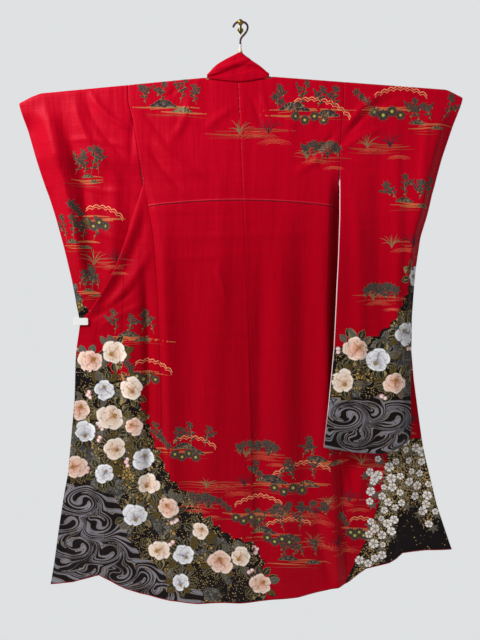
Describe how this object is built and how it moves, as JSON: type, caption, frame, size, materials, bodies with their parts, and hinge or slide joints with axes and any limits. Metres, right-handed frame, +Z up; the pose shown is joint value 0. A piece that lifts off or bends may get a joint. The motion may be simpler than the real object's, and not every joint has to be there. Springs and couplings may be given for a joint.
{
  "type": "furisode on kimono hanger",
  "caption": "Long-sleeved kimono hung nearly flat, back to the viewer, on a rod hanger whose hook rests on a wall peg.",
  "frame": {"origin": "middle of the peg plate's back, on the wall", "axes": "+Z up, -Y from the wall towards the viewer, who sees the garment's back; +X to the viewer's right"},
  "size_m": [1.3582, 0.0982, 1.8285],
  "materials": {
    "figured_silk": "satin",
    "overlap_silk": "satin",
    "pale_lining": "satin",
    "brass": "aged",
    "hook_wire": "gloss",
    "hanger_wood": "satin",
    "white_plastic": "satin",
    "cream_plastic": "satin"
  },
  "bodies": {
    "root": {"back_left": "figured_silk", "back_right": "figured_silk", "front_left": "figured_silk", "front_right": "figured_silk", "okumi_left": "overlap_silk", "okumi_right": "overlap_silk", "collar_left": "figured_silk", "collar_right": "figured_silk", "collar_nape": "figured_silk", "sleeve_left": "figured_silk", "sleeve_right": "figured_silk", "lining_edge_left": "pale_lining", "lining_edge_right": "pale_lining", "hanger_hub": "hanger_wood", "hanger_arm_left": "hanger_wood", "hanger_arm_right": "hanger_wood", "hanger_neck": "hanger_wood", "hanger_cone": "cream_plastic", "hanger_bead": "white_plastic", "hanger_hook": "hook_wire", "wall_plate": "brass", "wall_peg": "brass", "clip_front_jaw": "white_plastic", "clip_back_jaw": "white_plastic", "clip_spring": "white_plastic"}
  },
  "joints": []
}
